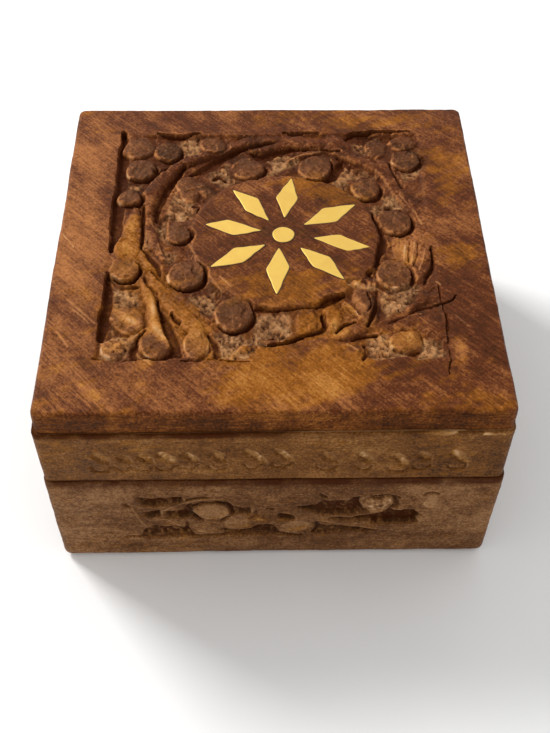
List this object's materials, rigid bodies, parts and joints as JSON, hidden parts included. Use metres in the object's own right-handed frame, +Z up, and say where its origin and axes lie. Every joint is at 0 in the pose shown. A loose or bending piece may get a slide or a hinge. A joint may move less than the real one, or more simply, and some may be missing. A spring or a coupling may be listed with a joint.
{
  "type": "trinket box",
  "caption": "Square carved wooden trinket box with a hinged flat lid, whose sunk leafy panel surrounds a round pad inlaid with a brass flower.",
  "frame": {"origin": "on the underside, below the middle of the lid's board", "axes": "+Z up, +X to the right seen from the front, the front faces -Y and the hinges are at +Y"},
  "size_m": [0.1038, 0.1028, 0.0582],
  "materials": {
    "wall_wood": "waxed",
    "board_wood": "waxed",
    "inside_wood": "bare",
    "hinge_brass": "satin",
    "inlay_brass": "satin"
  },
  "bodies": {
    "base": {"base_front_wall": "wall_wood", "base_back_wall": "wall_wood", "base_left_wall": "wall_wood", "base_right_wall": "wall_wood", "base_floor": "inside_wood", "left_hinge_base_leaf": "hinge_brass", "left_hinge_pin": "hinge_brass", "left_hinge_base_screw_1": "hinge_brass", "left_hinge_base_screw_2": "hinge_brass", "right_hinge_base_leaf": "hinge_brass", "right_hinge_pin": "hinge_brass", "right_hinge_base_screw_1": "hinge_brass", "right_hinge_base_screw_2": "hinge_brass"},
    "lid": {"lid_front_rail": "wall_wood", "lid_back_rail": "wall_wood", "lid_left_rail": "wall_wood", "lid_right_rail": "wall_wood", "lid_board": "board_wood", "inlay_disc": "inlay_brass", "inlay_petal_1": "inlay_brass", "inlay_petal_2": "inlay_brass", "inlay_petal_3": "inlay_brass", "inlay_petal_4": "inlay_brass", "inlay_petal_5": "inlay_brass", "inlay_petal_6": "inlay_brass", "inlay_petal_7": "inlay_brass", "inlay_petal_8": "inlay_brass", "left_hinge_lid_leaf": "hinge_brass", "left_hinge_lid_screw_1": "hinge_brass", "left_hinge_lid_screw_2": "hinge_brass", "right_hinge_lid_leaf": "hinge_brass", "right_hinge_lid_screw_1": "hinge_brass", "right_hinge_lid_screw_2": "hinge_brass"}
  },
  "joints": [
    {"name": "lid_hinge", "type": "hinge", "parent": "base", "child": "lid", "pos_m": [0, 0.0493, 0.03385], "axis": [-1, 0, 0], "range_deg": [0, 103]}
  ]
}
